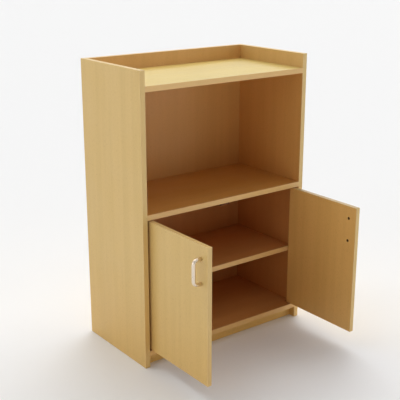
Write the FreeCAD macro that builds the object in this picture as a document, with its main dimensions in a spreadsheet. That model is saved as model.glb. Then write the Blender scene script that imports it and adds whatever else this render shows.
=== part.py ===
"""Storage cabinet: laminated board carcass with a rimmed top, an open compartment and a two-door cupboard.

Millimetres, +Z up. X runs from left to right seen from the front, Y from front to back, and the floor is at
z = 0. The origin is on the floor, midway between the side panels, and midway between the back of the cabinet
and the free edges of its doors, which are modelled standing open.
"""
import FreeCAD, Part
import math
import os
import re
import Sketcher
from FreeCAD import Placement, Rotation, Vector

# Carcass
cabinet_width = 697  # over both side panels
cabinet_depth = 360  # front edges to rear face
cabinet_height = 1000  # floor to the top of the rim
board_thickness = 18  # laminated board of the carcass
band_thickness = 1  # edge band glued on a board's edge
band_rounding = 0.6  # radius along a band's outer corners
rim_height = 50  # rim above the top board's face
mid_shelf_height = 537  # floor to the mid shelf's top face
inner_shelf_height = 283  # floor to the inner shelf's top face
bottom_board_height = 58  # floor to the bottom board's top face
plinth_setback = 25  # plinth behind the side panels' front edges
inner_shelf_setback = 30  # inner shelf behind the side panels' front edges
shelf_side_clearance = 1  # inner shelf to each side panel
shelf_back_clearance = 2  # inner shelf to the back panel
fit_clearance = 0.05  # radial clearance of a pin or plug in its hole

# Doors
door_thickness = 16  # laminated board
door_side_gap = 3.5  # closed door to the side panel
door_meeting_gap = 3  # between the two closed doors
door_top_gap = 3.2  # door to the mid shelf
door_bottom_gap = 3  # door to the bottom board
open_door_gap = 7.5  # side panel to the outer face of a door open at a right angle
door_open_angle = 90  # degrees, as modelled

# Pivots
pivot_plate_thickness = 2  # steel plate
pivot_plate_width = 14  # across the cabinet
pivot_plate_front = 6  # plate in front of the pin's axis
pivot_plate_back = 26  # plate behind the pin's axis
pivot_pin_diameter = 6  # pin riveted in the plate
pivot_pin_length = 12  # pin beyond the plate
pivot_screw_first = 12  # pin's axis to the first screw
pivot_screw_pitch = 9  # first screw to the second
bush_diameter = 10  # plastic bush in the door's edge
bush_length = 14  # bush below its flange
bush_flange_diameter = 15  # bush flange
bush_flange_thickness = 1  # bush flange

# Handles
handle_spacing = 80  # between the two fixing screws
handle_bar_diameter = 12  # round bar
handle_reach = 28  # door face to the bar's centre line
handle_bend_radius = 15  # centre line of the bend
handle_edge_distance = 33  # door's free edge to the screws
handle_top_distance = 43  # door's top edge to the upper screw
handle_screw_diameter = 4  # machine screw
handle_screw_bite = 8  # screw inside the bar
handle_screw_head_diameter = 7.5  # pan head
handle_screw_head_height = 2.6  # pan head
counterbore_diameter = 10  # recess for the screw head in the door's inner face
counterbore_depth = 8  # recess for the screw head

# Carcass fittings
cam_diameter = 15  # cam housing
cam_reach = 4  # cam housing beyond the board's mid plane
cam_inset = 24  # board's end to the cam's centre
cam_head_slot_width = 7.4  # slot round the bolt's head
cam_neck_slot_width = 4.8  # slot round the bolt's neck
cam_slot_clearance = 1  # bolt's head to the ends of its slot
bolt_shank_diameter = 7  # bolt inside the board
bolt_neck_diameter = 4  # bolt between its shank and head
bolt_head_diameter = 6.6  # bolt's head inside the cam
bolt_head_length = 3  # bolt's head inside the cam
bolt_thread_diameter = 5  # bolt inside the side panel
dowel_diameter = 8  # wooden dowel
dowel_length = 30  # wooden dowel
dowel_chamfer = 1  # at each end of a dowel
hole_end_clearance = 1  # between a fastener's end and its hole's end
fastener_inset = 60  # cam to the board's front or rear edge
dowel_spacing = 40  # cam to the dowel beside it
wood_screw_diameter = 3.5  # countersunk wood screw
wood_screw_head_diameter = 7  # countersunk wood screw
wood_screw_head_height = 1.75  # countersunk wood screw
wood_screw_length = 16  # countersunk wood screw
back_screw_length = 40  # countersunk screw through the back panel
back_screw_diameter = 4  # countersunk screw through the back panel
back_screw_head_diameter = 8  # countersunk screw through the back panel
back_screw_head_height = 2  # countersunk screw through the back panel
back_screw_inset = 110  # side panel to the outer screws of the back panel
recess_width = 1.2  # arms of a cross recess in a screw or cam
recess_depth = 1  # cross recess in a screw or cam
support_peg_diameter = 5  # shelf support's peg
support_width = 12  # shelf support along the side panel
support_height = 12  # shelf support's web
support_reach = 10  # shelf support's tab from the side panel
support_thickness = 2  # shelf support's tab and web
support_inset = 45  # shelf support to the shelf's front or rear edge
stop_width = 36  # door stop along the shelf
stop_depth = 14  # door stop, front to back
stop_height = 12  # door stop below the mid shelf
stop_clearance = 0.5  # closed doors to the door stop
stop_counterbore_depth = 5  # recess for the door stop's screw

# Every size above goes to the sheet under its own name
doc = FreeCAD.newDocument("StorageCabinet")
sheet = doc.addObject("Spreadsheet::Sheet", "Sizes")
sizes = {name: value for name, value in dict(globals()).items() if isinstance(value, (int, float))}
for row, (name, value) in enumerate(sizes.items(), 1):
    sheet.set(f"A{row}", name)
    sheet.set(f"B{row}", str(value))
    sheet.setAlias(f"B{row}", name)
doc.recompute()
nodes = []

X_AXIS = Vector(1, 0, 0)
Y_AXIS = Vector(0, 1, 0)
Z_AXIS = Vector(0, 0, 1)
HALF_TURN = 180
QUARTER_TURN = 90

# The numbers of the points of a sketch's geometry, and the sketch's own origin
START_POINT, END_POINT, CENTRE_POINT = range(1, 4)
ORIGIN = (-1, 1)

# The direction of each origin plane's normal along the axis that it crosses
NORMAL_SIGN = {"XY_Plane": 1, "XZ_Plane": -1, "YZ_Plane": 1}

# Shares of the sizes that they follow
BITE_SHARE = 0.6
PEG_SHARE = 0.5
BACK_CAM_HEIGHT_SHARES = (0.18, 0.42, 0.74)
RECESS_LENGTH_SHARE = 0.6
TIP_SHARE = 0.15

# Sizes worked out from the sheet
INNER_WIDTH = "(cabinet_width - 2 * board_thickness)"
BOARD_DEPTH = "(cabinet_depth - board_thickness)"
TOP_BOARD_BASE = "(cabinet_height - rim_height - board_thickness)"
MID_SHELF_BASE = "(mid_shelf_height - board_thickness)"
INNER_SHELF_BASE = "(inner_shelf_height - board_thickness)"
BOTTOM_BOARD_BASE = "(bottom_board_height - board_thickness)"
PIVOT_FROM_SIDE = "(open_door_gap + door_thickness / 2)"
DOOR_WIDTH = f"(({INNER_WIDTH} - 2 * door_side_gap - door_meeting_gap) / 2)"
DOOR_BASE = "(bottom_board_height + door_bottom_gap)"
DOOR_TOP = f"({MID_SHELF_BASE} - door_top_gap)"
HINGE_EDGE = f"(door_side_gap - {PIVOT_FROM_SIDE})"
FREE_EDGE = f"({HINGE_EDGE} + {DOOR_WIDTH})"
FRONT = f"(({FREE_EDGE} - door_thickness / 2 - cabinet_depth) / 2)"
HANDLE_X = f"({FREE_EDGE} - handle_edge_distance)"
HANDLE_HIGH = f"({DOOR_TOP} - handle_top_distance)"
HANDLE_LOW = f"({HANDLE_HIGH} - handle_spacing)"
SIDE_BITE = f"({BITE_SHARE} * board_thickness)"
CAM_DEPTH = "(board_thickness / 2 + cam_reach)"
BACK_CAM_HEIGHTS = [f"{share} * cabinet_height" for share in BACK_CAM_HEIGHT_SHARES]

# Distances of the cams and dowels from a fixed board's front edge
CAM_PLACES = ("fastener_inset", f"({BOARD_DEPTH} - fastener_inset)")
DOWEL_PLACES = ("(fastener_inset + dowel_spacing)", f"({BOARD_DEPTH} - fastener_inset - dowel_spacing)")
BACK_SCREW_REACH = f"({INNER_WIDTH} / 2 - back_screw_inset)"
BACK_SCREW_PLACES = (f"(-{BACK_SCREW_REACH})", "0", BACK_SCREW_REACH)
FIXED_BOARD_BASES = (TOP_BOARD_BASE, MID_SHELF_BASE, BOTTOM_BOARD_BASE)
LEFT = -1
RIGHT = 1
SIDE_NAMES = {LEFT: "left", RIGHT: "right"}


def bound(formula):
    """The formula with every size named as the sheet's own."""
    return re.sub(r"[a-z_]+", lambda word: f"Sizes.{word[0]}" if word[0] in sizes else word[0], formula)


def bind(item, **formulas):
    """Binds an object's properties to formulas; two underscores stand for a dot."""
    for name, formula in formulas.items():
        item.setExpression(name.replace("__", "."), bound(formula))


def place(item, x="0", y="0", z="0"):
    """Binds an object's position."""
    bind(item, Placement__Base__x=x, Placement__Base__y=y, Placement__Base__z=z)


def hole_for(diameter):
    """The diameter of the hole for a pin or plug."""
    return f"{diameter} + 2 * fit_clearance"


def node(item, label):
    """Names a finished piece and lists it for writing."""
    item.Label = label
    nodes.append(item)
    return item


# Sketches and features
def new_body(name):
    return doc.addObject("PartDesign::Body", name)


def new_sketch(body, plane, at="0"):
    """A sketch on a parallel of one of the body's origin planes, at a distance along the axis across it."""
    sketch = body.newObject("Sketcher::SketchObject", "Sketch")
    support = next(feature for feature in body.Origin.OriginFeatures if feature.Role == plane)
    sketch.AttachmentSupport = [(support, "")]
    sketch.MapMode = "FlatFace"
    bind(sketch, AttachmentOffset__Base__z=f"{NORMAL_SIGN[plane]} * ({at})")
    return sketch


def constrain(sketch, kind, geometry, point, formula):
    """Holds one point of a sketch at a distance from the sketch's origin."""
    number = sketch.addConstraint(Sketcher.Constraint(kind, *ORIGIN, geometry, point, 1))
    sketch.setExpression(f"Constraints[{number}]", bound(formula))


def on_unit_circle(share):
    return Vector(math.cos(math.tau * share), math.sin(math.tau * share), 0)


def draw_outline(sketch, corners):
    """A closed outline of straight lines through corners given as formulas."""
    first = sketch.GeometryCount
    count = len(corners)
    for index in range(count):
        line = Part.LineSegment(on_unit_circle(index / count), on_unit_circle((index + 1) / count))
        sketch.addGeometry(line, False)
    for index, (across, along) in enumerate(corners):
        line = first + index
        following = first + (index + 1) % count
        sketch.addConstraint(Sketcher.Constraint("Coincident", line, END_POINT, following, START_POINT))
        constrain(sketch, "DistanceX", line, START_POINT, across)
        constrain(sketch, "DistanceY", line, START_POINT, along)


def draw_rectangle(sketch, across, along, width, height):
    """A rectangle from its low corner."""
    far_x = f"({across}) + ({width})"
    far_y = f"({along}) + ({height})"
    draw_outline(sketch, [(across, along), (far_x, along), (far_x, far_y), (across, far_y)])


def draw_circles(sketch, centres, diameter):
    for across, along in centres:
        geometry = sketch.addGeometry(Part.Circle(on_unit_circle(0), Z_AXIS, 1), False)
        constrain(sketch, "DistanceX", geometry, CENTRE_POINT, across)
        constrain(sketch, "DistanceY", geometry, CENTRE_POINT, along)
        number = sketch.addConstraint(Sketcher.Constraint("Diameter", geometry, 1))
        sketch.setExpression(f"Constraints[{number}]", bound(diameter))


def add_feature(body, kind, sketch, plane, depth, toward):
    """A pad or pocket that runs along the plane's axis: toward is 1 for its positive direction, or -1."""
    before = 0 if body.Shape.isNull() else body.Shape.Volume
    feature = body.newObject(f"PartDesign::{kind}", kind)
    feature.Profile = sketch
    bind(feature, Length=depth)
    own_way = NORMAL_SIGN[plane] if kind == "Pad" else -NORMAL_SIGN[plane]
    feature.Reversed = toward != own_way
    doc.recompute()
    changed = body.Shape.Volume - before
    if (changed > 0) != (kind == "Pad") or not changed:
        raise ValueError(f"{body.Name}: a {kind} changed the volume by {changed}")
    return feature


def pad(body, sketch, plane, depth, toward):
    return add_feature(body, "Pad", sketch, plane, depth, toward)


def pocket(body, sketch, plane, depth, toward):
    return add_feature(body, "Pocket", sketch, plane, depth, toward)


def drill(body, plane, at, centres, diameter, depth, toward):
    """Blind holes that start on the plane's parallel at the given distance."""
    sketch = new_sketch(body, plane, at)
    draw_circles(sketch, centres, diameter)
    return pocket(body, sketch, plane, depth, toward)


def revolve(body, plane, corners, axis):
    """A turned piece: its half outline about one axis of the sketch."""
    sketch = new_sketch(body, plane)
    draw_outline(sketch, corners)
    feature = body.newObject("PartDesign::Revolution", "Revolution")
    feature.Profile = sketch
    feature.ReferenceAxis = (sketch, [axis])
    feature.Angle = 2 * HALF_TURN
    doc.recompute()
    return feature


def cut_cross(body, plane, at, toward, width, centre=("0", "0")):
    """A cross recess in a head or housing of the given width."""
    half_arm = f"({RECESS_LENGTH_SHARE / 2} * {width})"
    half_width = "(recess_width / 2)"
    for half_across, half_along in ((half_arm, half_width), (half_width, half_arm)):
        sketch = new_sketch(body, plane, at)
        low = (f"{centre[0]} - {half_across}", f"{centre[1]} - {half_along}")
        draw_rectangle(sketch, *low, f"2 * {half_across}", f"2 * {half_along}")
        pocket(body, sketch, plane, "recess_depth", toward)


# Primitives and groups
def new_box(name, low, extent):
    """A box from its low corner, both given as formulas."""
    box = doc.addObject("Part::Box", name)
    bind(box, Length=extent[0], Width=extent[1], Height=extent[2])
    place(box, *low)
    return box


def new_cylinder(name, centre, diameter, height, axis=Z_AXIS):
    cylinder = doc.addObject("Part::Cylinder", name)
    cylinder.Placement = Placement(Vector(), Rotation(Z_AXIS, axis))
    bind(cylinder, Radius=f"({diameter}) / 2", Height=height)
    place(cylinder, *centre)
    return cylinder


def new_strip(name, low, extent, outward):
    """An edge band strip, with the two long corners of its outward face rounded."""
    box = new_box(f"{name}_blank", low, extent)
    doc.recompute()
    bounds = box.Shape.BoundBox
    longest = max(bounds.XLength, bounds.YLength, bounds.ZLength)
    level = max(outward.dot(vertex.Point) for vertex in box.Shape.Vertexes)

    def is_long_outer(edge):
        depths = [level - outward.dot(vertex.Point) for vertex in edge.Vertexes]
        shortfall = longest - edge.Length
        return max(*depths, shortfall) < Part.Precision.confusion()

    strip = doc.addObject("Part::Fillet", name)
    strip.Base = box
    radius = sheet.band_rounding
    numbered = enumerate(box.Shape.Edges, 1)
    strip.Edges = [(number, radius, radius) for number, edge in numbered if is_long_outer(edge)]
    return strip


def new_compound(name, items):
    compound = doc.addObject("Part::Compound", name)
    compound.Links = items
    return compound


def inward_turn(side):
    """Turns a piece that points along its own +X so that it points from a side panel into the cabinet."""
    return Rotation(Z_AXIS, HALF_TURN if side == RIGHT else 0)


def copies(label, master, places):
    """A group of like pieces: one link to the master at each place, turned as the place says."""
    links = []
    for index, (x, y, z, turn) in enumerate(places, 1):
        link = doc.addObject("App::Link", f"{label}_{index}")
        link.LinkedObject = master
        link.LinkTransform = False
        link.Placement = Placement(Vector(), turn)
        place(link, x, y, z)
        links.append(link)
    return node(new_compound(label, links), label)


# Boards
def fixed_board(label, base):
    """A board between the side panels, held by cams and dowels, drilled from behind for the back screws."""
    body = new_body(label)
    sketch = new_sketch(body, "XY_Plane")
    bare_depth = f"{BOARD_DEPTH} - band_thickness"
    draw_rectangle(sketch, f"-{INNER_WIDTH} / 2", "band_thickness", INNER_WIDTH, bare_depth)
    pad(body, sketch, "XY_Plane", "board_thickness", 1)
    middle = "board_thickness / 2"
    for side in (LEFT, RIGHT):
        end = f"{side} * {INNER_WIDTH} / 2"
        bolt_centres = [(along, middle) for along in CAM_PLACES]
        drill(body, "YZ_Plane", end, bolt_centres, hole_for("bolt_shank_diameter"), "cam_inset", -side)
        dowel_centres = [(along, middle) for along in DOWEL_PLACES]
        dowel_depth = f"dowel_length - {SIDE_BITE} + hole_end_clearance"
        drill(body, "YZ_Plane", end, dowel_centres, hole_for("dowel_diameter"), dowel_depth, -side)
        cam_centres = [(f"{side} * ({INNER_WIDTH} / 2 - cam_inset)", along) for along in CAM_PLACES]
        drill(body, "XY_Plane", "0", cam_centres, hole_for("cam_diameter"), CAM_DEPTH, 1)
    screw_centres = [(across, middle) for across in BACK_SCREW_PLACES]
    screw_depth = "back_screw_length - board_thickness + hole_end_clearance"
    drill(body, "XZ_Plane", BOARD_DEPTH, screw_centres, hole_for("back_screw_diameter"), screw_depth, -1)
    place(body, y=FRONT, z=base)
    return node(body, label)


def front_band(label, width, front, base):
    """The band on a horizontal board's front edge."""
    low = (f"-({width}) / 2", f"{FRONT} + {front}", base)
    strip = new_strip(label, low, (width, "band_thickness", "board_thickness"), -Y_AXIS)
    return node(strip, label)


def side_panel(side):
    """A full-height side panel, drilled on its inner face, which is at its own x = 0."""
    label = f"side_panel_{SIDE_NAMES[side]}"
    body = new_body(label)
    sketch = new_sketch(body, "YZ_Plane")
    panel_depth = "cabinet_depth - 2 * band_thickness"
    draw_rectangle(sketch, "band_thickness", "0", panel_depth, "cabinet_height - band_thickness")
    pad(body, sketch, "YZ_Plane", "board_thickness", side)
    heights = [f"({base} + board_thickness / 2)" for base in FIXED_BOARD_BASES]
    back_middle = "(cabinet_depth - board_thickness / 2)"
    bolt_centres = [(along, height) for along in CAM_PLACES for height in heights]
    bolt_centres += [(back_middle, height) for height in BACK_CAM_HEIGHTS]
    thread_depth = f"{SIDE_BITE} + hole_end_clearance"
    drill(body, "YZ_Plane", "0", bolt_centres, hole_for("bolt_thread_diameter"), thread_depth, side)
    dowel_centres = [(along, height) for along in DOWEL_PLACES for height in heights]
    dowel_centres += [("plinth_setback + board_thickness / 2", f"{BOTTOM_BOARD_BASE} / 2")]
    drill(body, "YZ_Plane", "0", dowel_centres, hole_for("dowel_diameter"), thread_depth, side)
    peg_centres = [(along, SUPPORT_Z) for along in SUPPORT_PLACES]
    peg_depth = f"{PEG_SHARE} * board_thickness + hole_end_clearance"
    drill(body, "YZ_Plane", "0", peg_centres, hole_for("support_peg_diameter"), peg_depth, side)
    place(body, x=f"{side} * {INNER_WIDTH} / 2", y=FRONT)
    return node(body, label)


def side_bands(side):
    """The bands on a side panel's front, top and rear edges."""
    label = f"side_band_{SIDE_NAMES[side]}"
    low_x = f"{side} * {INNER_WIDTH} / 2" + (" - board_thickness" if side == LEFT else "")
    upright = ("board_thickness", "band_thickness", "cabinet_height")
    rear_y = f"{FRONT} + cabinet_depth - band_thickness"
    top_low = (low_x, f"{FRONT} + band_thickness", "cabinet_height - band_thickness")
    top_extent = ("board_thickness", "cabinet_depth - 2 * band_thickness", "band_thickness")
    strips = [
        new_strip(f"{label}_front", (low_x, FRONT, "0"), upright, -Y_AXIS),
        new_strip(f"{label}_rear", (low_x, rear_y, "0"), upright, Y_AXIS),
        new_strip(f"{label}_top", top_low, top_extent, Z_AXIS),
    ]
    return node(new_compound(label, strips), label)


def back_panel():
    """The full-height board between the side panels, with its cams let in from behind."""
    body = new_body("back_panel_blank")
    sketch = new_sketch(body, "XZ_Plane")
    draw_rectangle(sketch, f"-{INNER_WIDTH} / 2", "0", INNER_WIDTH, "cabinet_height - band_thickness")
    pad(body, sketch, "XZ_Plane", "board_thickness", 1)
    for side in (LEFT, RIGHT):
        bolt_centres = [("board_thickness / 2", height) for height in BACK_CAM_HEIGHTS]
        end = f"{side} * {INNER_WIDTH} / 2"
        drill(body, "YZ_Plane", end, bolt_centres, hole_for("bolt_shank_diameter"), "cam_inset", -side)
        across = f"{side} * ({INNER_WIDTH} / 2 - cam_inset)"
        cam_centres = [(across, height) for height in BACK_CAM_HEIGHTS]
        drill(body, "XZ_Plane", "board_thickness", cam_centres, hole_for("cam_diameter"), CAM_DEPTH, -1)
    heights = [f"{base} + board_thickness / 2" for base in FIXED_BOARD_BASES]
    screw_centres = [(across, height) for across in BACK_SCREW_PLACES for height in heights]
    drill(body, "XZ_Plane", "0", screw_centres, hole_for("back_screw_diameter"), "board_thickness", 1)
    sinks = []
    for across in BACK_SCREW_PLACES:
        for height in heights:
            sinks.append(countersink("back_screw", (across, "board_thickness", height), -Y_AXIS))
    panel = doc.addObject("Part::Cut", "back_panel")
    panel.Base = body
    panel.Tool = new_compound("back_panel_countersinks", sinks)
    place(panel, y=f"{FRONT} + {BOARD_DEPTH}")
    return node(panel, "back_panel")


def countersink(screw, mouth, inward):
    """The cone that a countersunk head takes out of the wood, from its mouth inwards."""
    cone = doc.addObject("Part::Cone", f"{screw}_countersink")
    cone.Placement = Placement(Vector(), Rotation(Z_AXIS, inward))
    bind(
        cone,
        Radius1=f"{screw}_head_diameter / 2 + fit_clearance",
        Radius2=f"{screw}_diameter / 2 + fit_clearance",
        Height=f"{screw}_head_height",
    )
    place(cone, *mouth)
    return cone


def plinth_board():
    """The upright board under the bottom board, held by a dowel at each end."""
    body = new_body("plinth_board")
    sketch = new_sketch(body, "XZ_Plane")
    draw_rectangle(sketch, f"-{INNER_WIDTH} / 2", "0", INNER_WIDTH, BOTTOM_BOARD_BASE)
    pad(body, sketch, "XZ_Plane", "board_thickness", 1)
    centre = [("board_thickness / 2", f"{BOTTOM_BOARD_BASE} / 2")]
    depth = f"dowel_length - {SIDE_BITE} + hole_end_clearance"
    for side in (LEFT, RIGHT):
        end = f"{side} * {INNER_WIDTH} / 2"
        drill(body, "YZ_Plane", end, centre, hole_for("dowel_diameter"), depth, -side)
    place(body, y=f"{FRONT} + plinth_setback")
    return node(body, "plinth_board")


# The inner shelf and its supports
SHELF_WIDTH = f"({INNER_WIDTH} - 2 * shelf_side_clearance)"
SHELF_REAR = f"({BOARD_DEPTH} - shelf_back_clearance)"
SUPPORT_PLACES = ("(inner_shelf_setback + support_inset)", f"({SHELF_REAR} - support_inset)")
SUPPORT_Z = f"({INNER_SHELF_BASE} - support_height / 2)"


def inner_shelf():
    body = new_body("inner_shelf")
    sketch = new_sketch(body, "XY_Plane")
    front = "(inner_shelf_setback + band_thickness)"
    draw_rectangle(sketch, f"-{SHELF_WIDTH} / 2", front, SHELF_WIDTH, f"{SHELF_REAR} - {front}")
    pad(body, sketch, "XY_Plane", "board_thickness", 1)
    place(body, y=FRONT, z=INNER_SHELF_BASE)
    return node(body, "inner_shelf")


def shelf_supports():
    """Four plug-in supports: a peg in the side panel, a web against it and a tab under the shelf."""
    body = new_body("shelf_support")
    web = new_sketch(body, "YZ_Plane")
    draw_rectangle(web, "-support_width / 2", "-support_height / 2", "support_width", "support_height")
    pad(body, web, "YZ_Plane", "support_thickness", 1)
    tab = new_sketch(body, "YZ_Plane")
    tab_base = "support_height / 2 - support_thickness"
    draw_rectangle(tab, "-support_width / 2", tab_base, "support_width", "support_thickness")
    pad(body, tab, "YZ_Plane", "support_reach", 1)
    peg = new_sketch(body, "YZ_Plane")
    draw_circles(peg, [("0", "0")], "support_peg_diameter")
    pad(body, peg, "YZ_Plane", f"{PEG_SHARE} * board_thickness", -1)
    places = []
    for side in (LEFT, RIGHT):
        x = f"{side} * {INNER_WIDTH} / 2"
        places += [(x, f"{FRONT} + {along}", SUPPORT_Z, inward_turn(side)) for along in SUPPORT_PLACES]
    return copies("shelf_supports", body, places)


# Fasteners of the carcass
def fixed_board_ends(places):
    """Each end of each fixed board, at the given distances from the front: its x, y, mid height and turn."""
    for side in (LEFT, RIGHT):
        for base in FIXED_BOARD_BASES:
            height = f"{base} + board_thickness / 2"
            for along in places:
                yield f"{side} * {INNER_WIDTH} / 2", f"{FRONT} + {along}", height, inward_turn(side)


def back_panel_ends():
    """The bolt places on each upright edge of the back panel, turned so that the cams open to the rear."""
    for side in (LEFT, RIGHT):
        turn = inward_turn(side)
        to_rear = Rotation(X_AXIS, QUARTER_TURN if side == LEFT else -QUARTER_TURN)
        for height in BACK_CAM_HEIGHTS:
            y = f"{FRONT} + cabinet_depth - board_thickness / 2"
            yield f"{side} * {INNER_WIDTH} / 2", y, height, turn * to_rear


def cam_bolts():
    """Bolts along their own +X: thread in the side panel, shank in the board, head in the cam."""
    body = new_body("cam_bolt")
    head_end = "(cam_inset + bolt_head_length / 2)"
    head_start = "(cam_inset - bolt_head_length / 2)"
    shank_end = "(cam_inset - cam_diameter / 2)"
    outline = [
        (f"-{SIDE_BITE}", "0"),
        (f"-{SIDE_BITE}", "bolt_thread_diameter / 2"),
        ("0", "bolt_thread_diameter / 2"),
        ("0", "bolt_shank_diameter / 2"),
        (shank_end, "bolt_shank_diameter / 2"),
        (shank_end, "bolt_neck_diameter / 2"),
        (head_start, "bolt_neck_diameter / 2"),
        (head_start, "bolt_head_diameter / 2"),
        (head_end, "bolt_head_diameter / 2"),
        (head_end, "0"),
    ]
    revolve(body, "XZ_Plane", outline, "H_Axis")
    return copies("cam_bolts", body, list(fixed_board_ends(CAM_PLACES)) + list(back_panel_ends()))


def cam_locks():
    """Round housings let in from below, with a slot for the bolt's neck and a wider one for its head."""
    body = new_body("cam_lock")
    disc = new_sketch(body, "XY_Plane", "-board_thickness / 2")
    draw_circles(disc, [("cam_inset", "0")], "cam_diameter")
    pad(body, disc, "XY_Plane", CAM_DEPTH, 1)
    head_slot = "(bolt_head_length / 2 + cam_slot_clearance)"
    slots = [
        ("cam_inset - cam_diameter / 2", "cam_diameter / 2", "cam_neck_slot_width"),
        (f"cam_inset - {head_slot}", f"2 * {head_slot}", "cam_head_slot_width"),
    ]
    for start, length, width in slots:
        slot = new_sketch(body, "XZ_Plane", f"{width} / 2")
        draw_rectangle(slot, start, f"-{width} / 2", length, f"{width} / 2 + cam_reach")
        pocket(body, slot, "XZ_Plane", width, -1)
    cut_cross(body, "XY_Plane", "-board_thickness / 2", 1, "cam_diameter", centre=("cam_inset", "0"))
    return copies("cam_locks", body, list(fixed_board_ends(CAM_PLACES)) + list(back_panel_ends()))


def dowels():
    """Chamfered dowels along their own X, part in the side panel and part in the board."""
    body = new_body("dowel")
    start = f"-{SIDE_BITE}"
    end = f"(dowel_length - {SIDE_BITE})"
    slim = "(dowel_diameter / 2 - dowel_chamfer)"
    outline = [
        (start, "0"),
        (start, slim),
        (f"{start} + dowel_chamfer", "dowel_diameter / 2"),
        (f"{end} - dowel_chamfer", "dowel_diameter / 2"),
        (end, slim),
        (end, "0"),
    ]
    revolve(body, "XZ_Plane", outline, "H_Axis")
    places = list(fixed_board_ends(DOWEL_PLACES))
    for side in (LEFT, RIGHT):
        y = f"{FRONT} + plinth_setback + board_thickness / 2"
        places.append((f"{side} * {INNER_WIDTH} / 2", y, f"{BOTTOM_BOARD_BASE} / 2", inward_turn(side)))
    return copies("dowels", body, places)


def screw_body(name, screw):
    """A countersunk screw that points down from its flat head at z = 0."""
    body = new_body(name)
    outline = [
        ("0", "0"),
        (f"{screw}_head_diameter / 2", "0"),
        (f"{screw}_diameter / 2", f"-{screw}_head_height"),
        (f"{screw}_diameter / 2", f"-{1 - TIP_SHARE} * {screw}_length"),
        ("0", f"-{screw}_length"),
    ]
    revolve(body, "XZ_Plane", outline, "V_Axis")
    cut_cross(body, "XY_Plane", "0", -1, f"{screw}_head_diameter")
    return body


def back_panel_screws():
    body = screw_body("back_screw", "back_screw")
    places = []
    to_rear = Rotation(Z_AXIS, Y_AXIS)
    for base in FIXED_BOARD_BASES:
        for across in BACK_SCREW_PLACES:
            places.append((across, f"{FRONT} + cabinet_depth", f"{base} + board_thickness / 2", to_rear))
    return copies("back_panel_screws", body, places)


# Pivots and door stop
PIVOT_Y = f"({FRONT} + door_thickness / 2)"
PIVOT_SCREWS = [("0", "pivot_screw_first"), ("0", "pivot_screw_first + pivot_screw_pitch")]


def pivot_x(side):
    return f"{side} * ({INNER_WIDTH} / 2 - {PIVOT_FROM_SIDE})"


def pivot_plate(side, top):
    """A steel plate with its pin, screwed under the mid shelf or on the bottom board."""
    label = f"pivot_plate_{'top' if top else 'bottom'}_{SIDE_NAMES[side]}"
    into_gap = -1 if top else 1
    body = new_body(f"{label}_blank")
    plate = new_sketch(body, "XY_Plane")
    plate_length = "pivot_plate_front + pivot_plate_back"
    draw_rectangle(plate, "-pivot_plate_width / 2", "-pivot_plate_front", "pivot_plate_width", plate_length)
    pad(body, plate, "XY_Plane", "pivot_plate_thickness", into_gap)
    pin = new_sketch(body, "XY_Plane")
    draw_circles(pin, [("0", "0")], "pivot_pin_diameter")
    pad(body, pin, "XY_Plane", "pivot_plate_thickness + pivot_pin_length", into_gap)
    hole = hole_for("wood_screw_diameter")
    drill(body, "XY_Plane", "0", PIVOT_SCREWS, hole, "pivot_plate_thickness", into_gap)
    face = f"{into_gap} * pivot_plate_thickness"
    sinks = [countersink("wood_screw", (x, y, face), -into_gap * Z_AXIS) for x, y in PIVOT_SCREWS]
    cut = doc.addObject("Part::Cut", label)
    cut.Base = body
    cut.Tool = new_compound(f"{label}_countersinks", sinks)
    place(cut, pivot_x(side), PIVOT_Y, MID_SHELF_BASE if top else "bottom_board_height")
    return node(cut, label)


def drill_for_pivots(board, at, into_wood):
    """Pilot holes for the screws of both pivot plates in the mid shelf or the bottom board."""
    y = "door_thickness / 2"
    centres = [(pivot_x(side), f"{y} + {along}") for side in (LEFT, RIGHT) for _, along in PIVOT_SCREWS]
    depth = "wood_screw_length - pivot_plate_thickness + hole_end_clearance"
    drill(board, "XY_Plane", at, centres, hole_for("wood_screw_diameter"), depth, into_wood)


STOP_Y = "(door_thickness + stop_clearance)"
STOP_SCREW_Y = f"({STOP_Y} + stop_depth / 2)"


def door_stop():
    """The block under the mid shelf that both closed doors meet."""
    low = ("-stop_width / 2", f"{FRONT} + {STOP_Y}", f"{MID_SHELF_BASE} - stop_height")
    block = new_box("door_stop_block", low, ("stop_width", "stop_depth", "stop_height"))
    foot = ("0", f"{FRONT} + {STOP_SCREW_Y}", f"{MID_SHELF_BASE} - stop_height")
    recess_width = hole_for("wood_screw_head_diameter")
    recess = new_cylinder("door_stop_recess", foot, recess_width, "stop_counterbore_depth")
    through = new_cylinder("door_stop_hole", foot, hole_for("wood_screw_diameter"), "stop_height")
    head = ("0", foot[1], f"{foot[2]} + stop_counterbore_depth")
    cut = doc.addObject("Part::Cut", "door_stop")
    cut.Base = block
    cut.Tool = new_compound("door_stop_holes", [recess, through, countersink("wood_screw", head, Z_AXIS)])
    return node(cut, "door_stop")


def drill_for_stop(board):
    """A pilot hole for the door stop's screw in the mid shelf."""
    depth = "wood_screw_length - stop_height + stop_counterbore_depth + hole_end_clearance"
    drill(board, "XY_Plane", "0", [("0", STOP_SCREW_Y)], hole_for("wood_screw_diameter"), depth, 1)


def countersunk_screws():
    """The short screws of the pivot plates and the door stop."""
    body = screw_body("wood_screw", "wood_screw")
    downward = Rotation()
    upward = Rotation(X_AXIS, HALF_TURN)
    places = []
    for side in (LEFT, RIGHT):
        for _, along in PIVOT_SCREWS:
            y = f"{PIVOT_Y} + {along}"
            places.append((pivot_x(side), y, f"{MID_SHELF_BASE} - pivot_plate_thickness", upward))
            places.append((pivot_x(side), y, "bottom_board_height + pivot_plate_thickness", downward))
    stop_head = f"{MID_SHELF_BASE} - stop_height + stop_counterbore_depth"
    places.append(("0", f"{FRONT} + {STOP_SCREW_Y}", stop_head, upward))
    return copies("countersunk_screws", body, places)


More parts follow.
